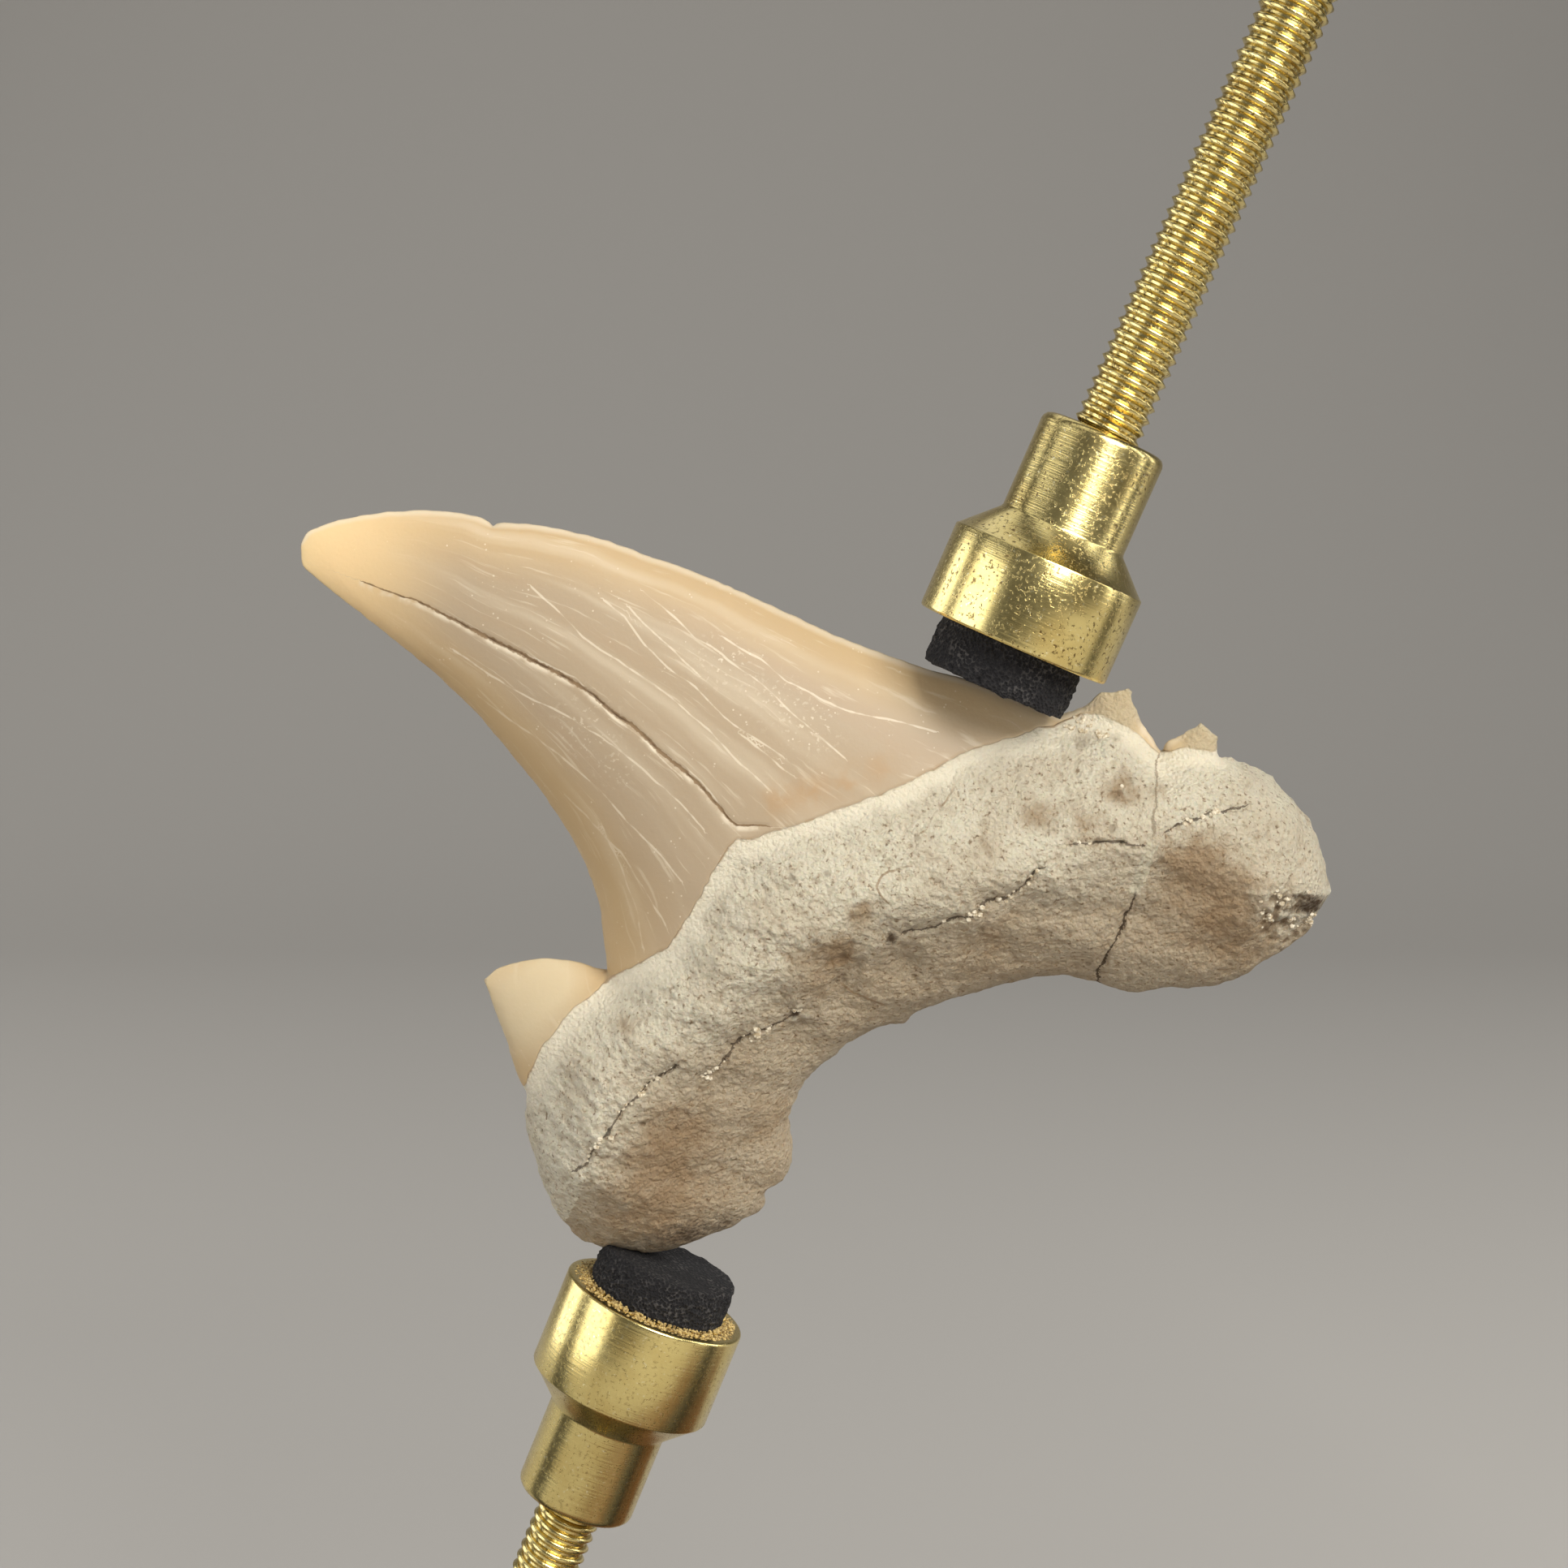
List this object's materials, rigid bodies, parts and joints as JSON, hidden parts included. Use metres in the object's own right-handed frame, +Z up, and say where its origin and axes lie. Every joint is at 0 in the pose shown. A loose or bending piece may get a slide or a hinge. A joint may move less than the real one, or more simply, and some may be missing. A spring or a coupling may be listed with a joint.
{
  "type": "fossil shark tooth on a hoop stand",
  "caption": "Curved fossil shark tooth with side cusps and a thick root, held between padded screw clamps inside an upright hoop on a wooden base.",
  "frame": {"origin": "under the middle of the base, on the surface it stands on", "axes": "+Z up, the tooth faces -Y, +X to the viewer's right"},
  "size_m": [0.16, 0.076, 0.1801],
  "materials": {
    "fossil": "glossy cream enamel on the crown, chalky pitted root with hairline cracks",
    "brass": "turned satin brass",
    "foam": "black open-cell foam rubber",
    "hoop_steel": "matt black powder coat",
    "walnut": "oiled walnut"
  },
  "bodies": {
    "stand": {"tooth": "fossil", "lower_pad": "foam", "lower_cap": "brass", "lower_rod": "brass", "lower_nut": "brass", "hoop": "hoop_steel", "base": "walnut"},
    "clamp": {"upper_pad": "foam", "upper_cap": "brass", "upper_rod": "brass", "clamp_knob": "brass"}
  },
  "joints": [
    {"name": "upper_clamp", "type": "slide", "parent": "stand", "child": "clamp", "axis": [0.3987, 0, 0.9171], "range_m": [0, 0.05]}
  ]
}
